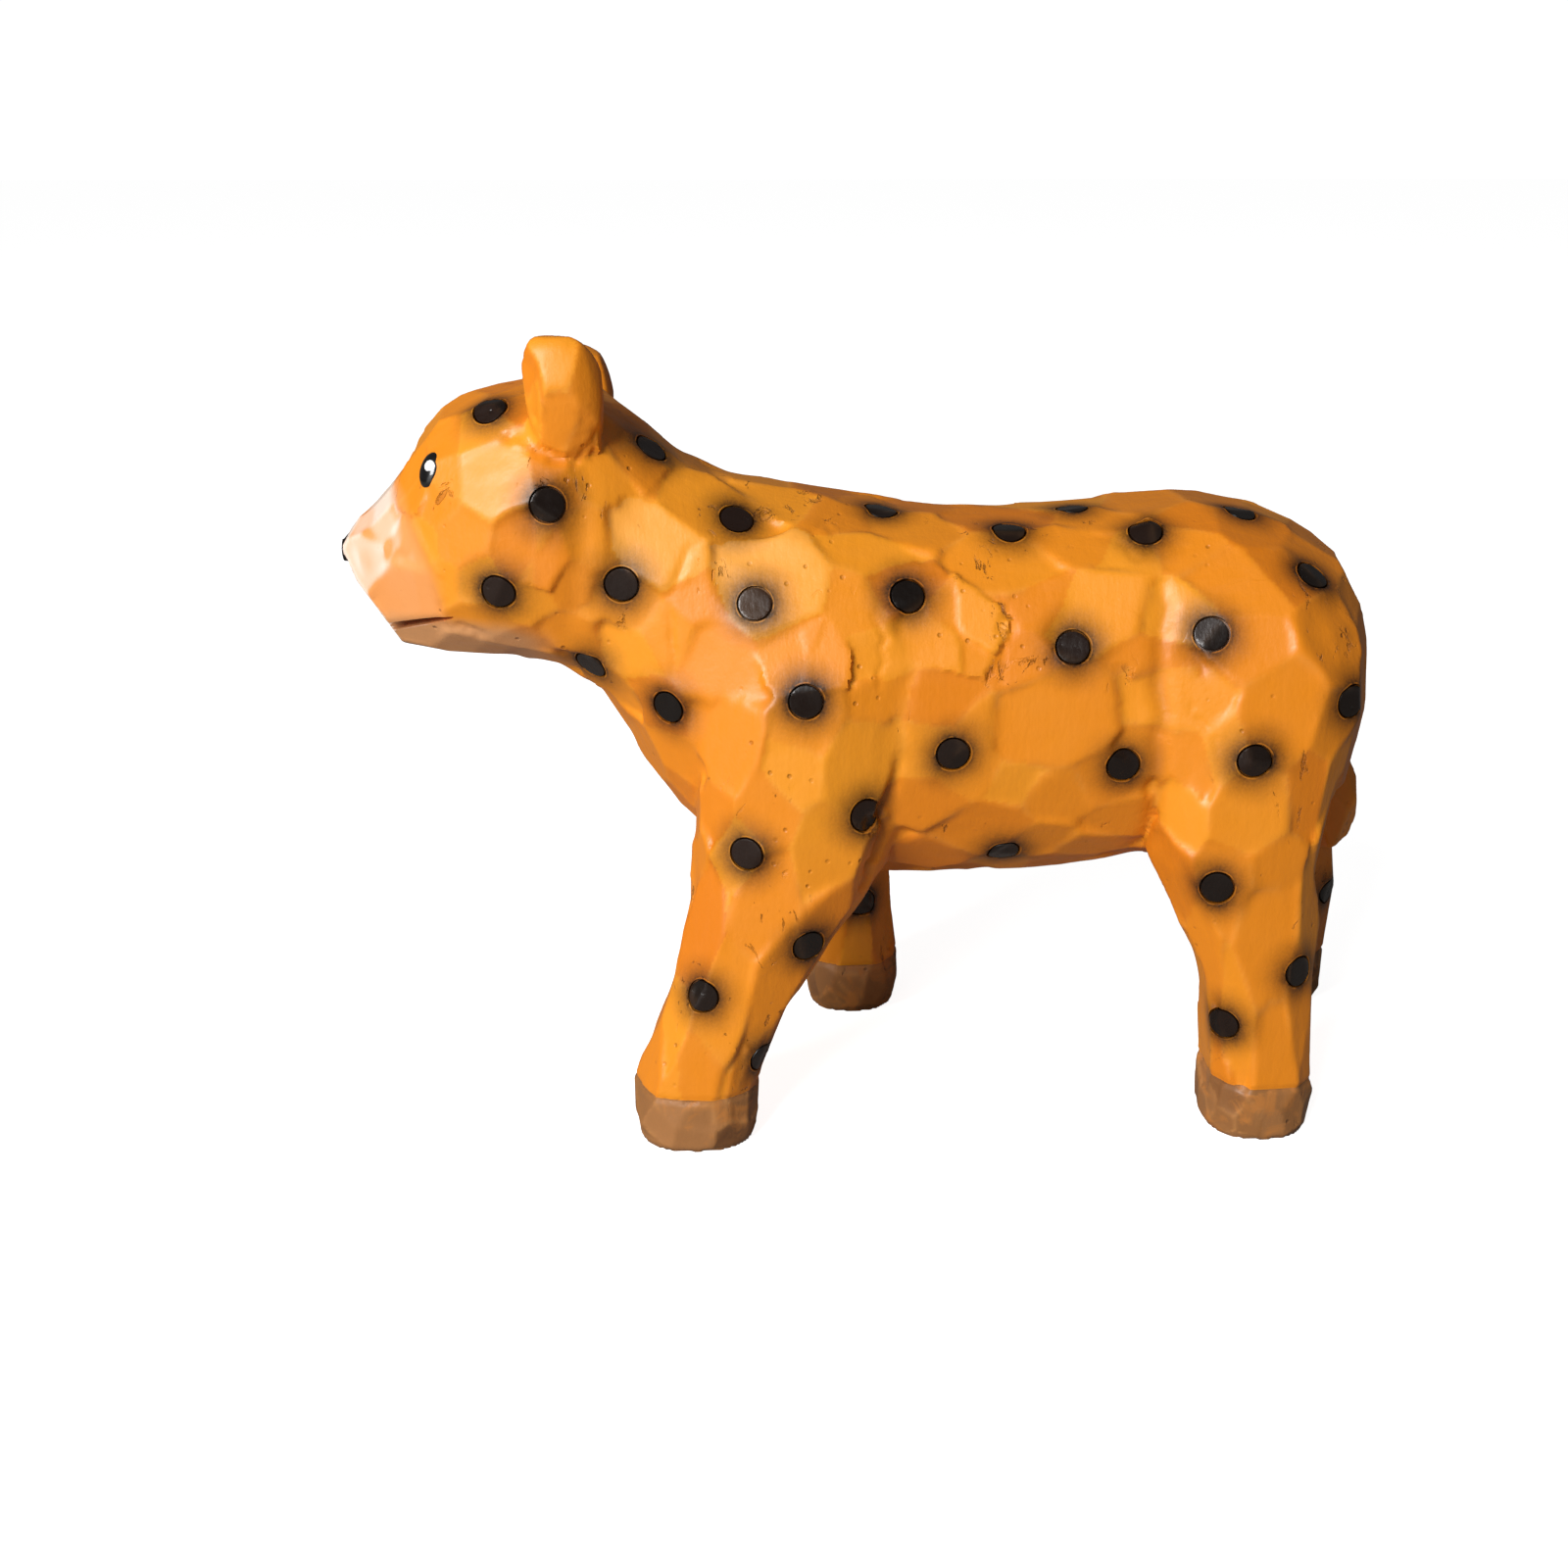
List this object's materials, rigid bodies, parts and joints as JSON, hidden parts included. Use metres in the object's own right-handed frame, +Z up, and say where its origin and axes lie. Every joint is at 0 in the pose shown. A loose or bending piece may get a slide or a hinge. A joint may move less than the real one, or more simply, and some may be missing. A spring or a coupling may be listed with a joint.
{
  "type": "carved animal figurine",
  "caption": "Hand-carved wooden spotted cub figurine, standing, with orange painted coat, black inlaid spots, brown feet and pale muzzle.",
  "frame": {"origin": "centre of the bounding box at the soles", "axes": "-X towards the nose, +X towards the tail, -Y the figurine's left flank, +Y its right flank, +Z up"},
  "size_m": [0.15, 0.055, 0.11],
  "materials": {
    "coat_orange": "satin painted, knife-cut facets",
    "muzzle_and_coat": "satin painted, fading to a pale pink muzzle",
    "spot_black": "gloss black paint",
    "eye_black": "gloss black paint with a white catchlight",
    "nose_black": "gloss black paint",
    "hoof_brown": "brown wash over orange, satin",
    "dowel_wood": "bare hardwood"
  },
  "bodies": {
    "root": {"torso_block": "coat_orange", "neck_block": "coat_orange", "head_block": "muzzle_and_coat", "ear_left": "coat_orange", "ear_right": "coat_orange", "eye_left": "eye_black", "eye_right": "eye_black", "nose_tip": "nose_black", "leg_front_left": "coat_orange", "leg_front_right": "coat_orange", "leg_hind_left": "coat_orange", "leg_hind_right": "coat_orange", "foot_front_left": "hoof_brown", "foot_front_right": "hoof_brown", "foot_hind_left": "hoof_brown", "foot_hind_right": "hoof_brown", "tail": "coat_orange", "neck_dowel": "dowel_wood", "head_dowel": "dowel_wood", "shoulder_dowel": "dowel_wood", "hip_dowel": "dowel_wood", "foot_pegs": "dowel_wood", "ear_pegs": "dowel_wood", "tail_peg": "dowel_wood", "spots_head": "spot_black", "spots_neck": "spot_black", "spots_torso_left": "spot_black", "spots_torso_right": "spot_black", "spots_back": "spot_black", "spots_front_left": "spot_black", "spots_front_right": "spot_black", "spots_hind_left": "spot_black", "spots_hind_right": "spot_black"}
  },
  "joints": []
}
